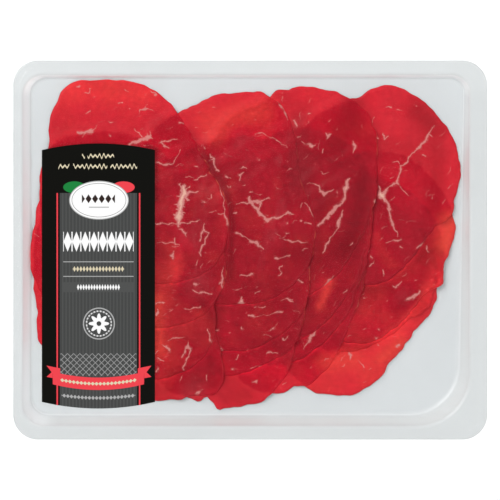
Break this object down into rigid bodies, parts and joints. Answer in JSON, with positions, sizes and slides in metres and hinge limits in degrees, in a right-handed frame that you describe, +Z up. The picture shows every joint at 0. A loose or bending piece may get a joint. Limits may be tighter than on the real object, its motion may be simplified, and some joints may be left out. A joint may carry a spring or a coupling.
{
  "type": "sliced bresaola pack",
  "caption": "Thin dark red slices of air-dried beef, shingled in a shallow clear tray sealed with clear film and a dark printed label.",
  "frame": {"origin": "centre of the tray's flat underside", "axes": "+Z up through the film, +X along the pack's long side away from the label, +Y from the label's foot to its head"},
  "size_m": [0.237, 0.1896, 0.0138],
  "materials": {
    "tray": "milky clear thermoformed plastic, smooth gloss",
    "film": "thin clear film, high gloss",
    "label": null,
    "meat": "moist satin cut face with fine pale marbling"
  },
  "bodies": {
    "root": {"tray": "tray", "film": "film", "label": "label", "slice_c1_r1": "meat", "slice_c1_r2": "meat", "slice_c1_r3": "meat", "slice_c1_r4": "meat", "slice_c2_r1": "meat", "slice_c2_r2": "meat", "slice_c2_r3": "meat", "slice_c2_r4": "meat", "slice_c3_r1": "meat", "slice_c3_r2": "meat", "slice_c3_r3": "meat", "slice_c3_r4": "meat", "slice_c4_r1": "meat", "slice_c4_r2": "meat", "slice_c4_r3": "meat", "slice_c4_r4": "meat"}
  },
  "joints": []
}
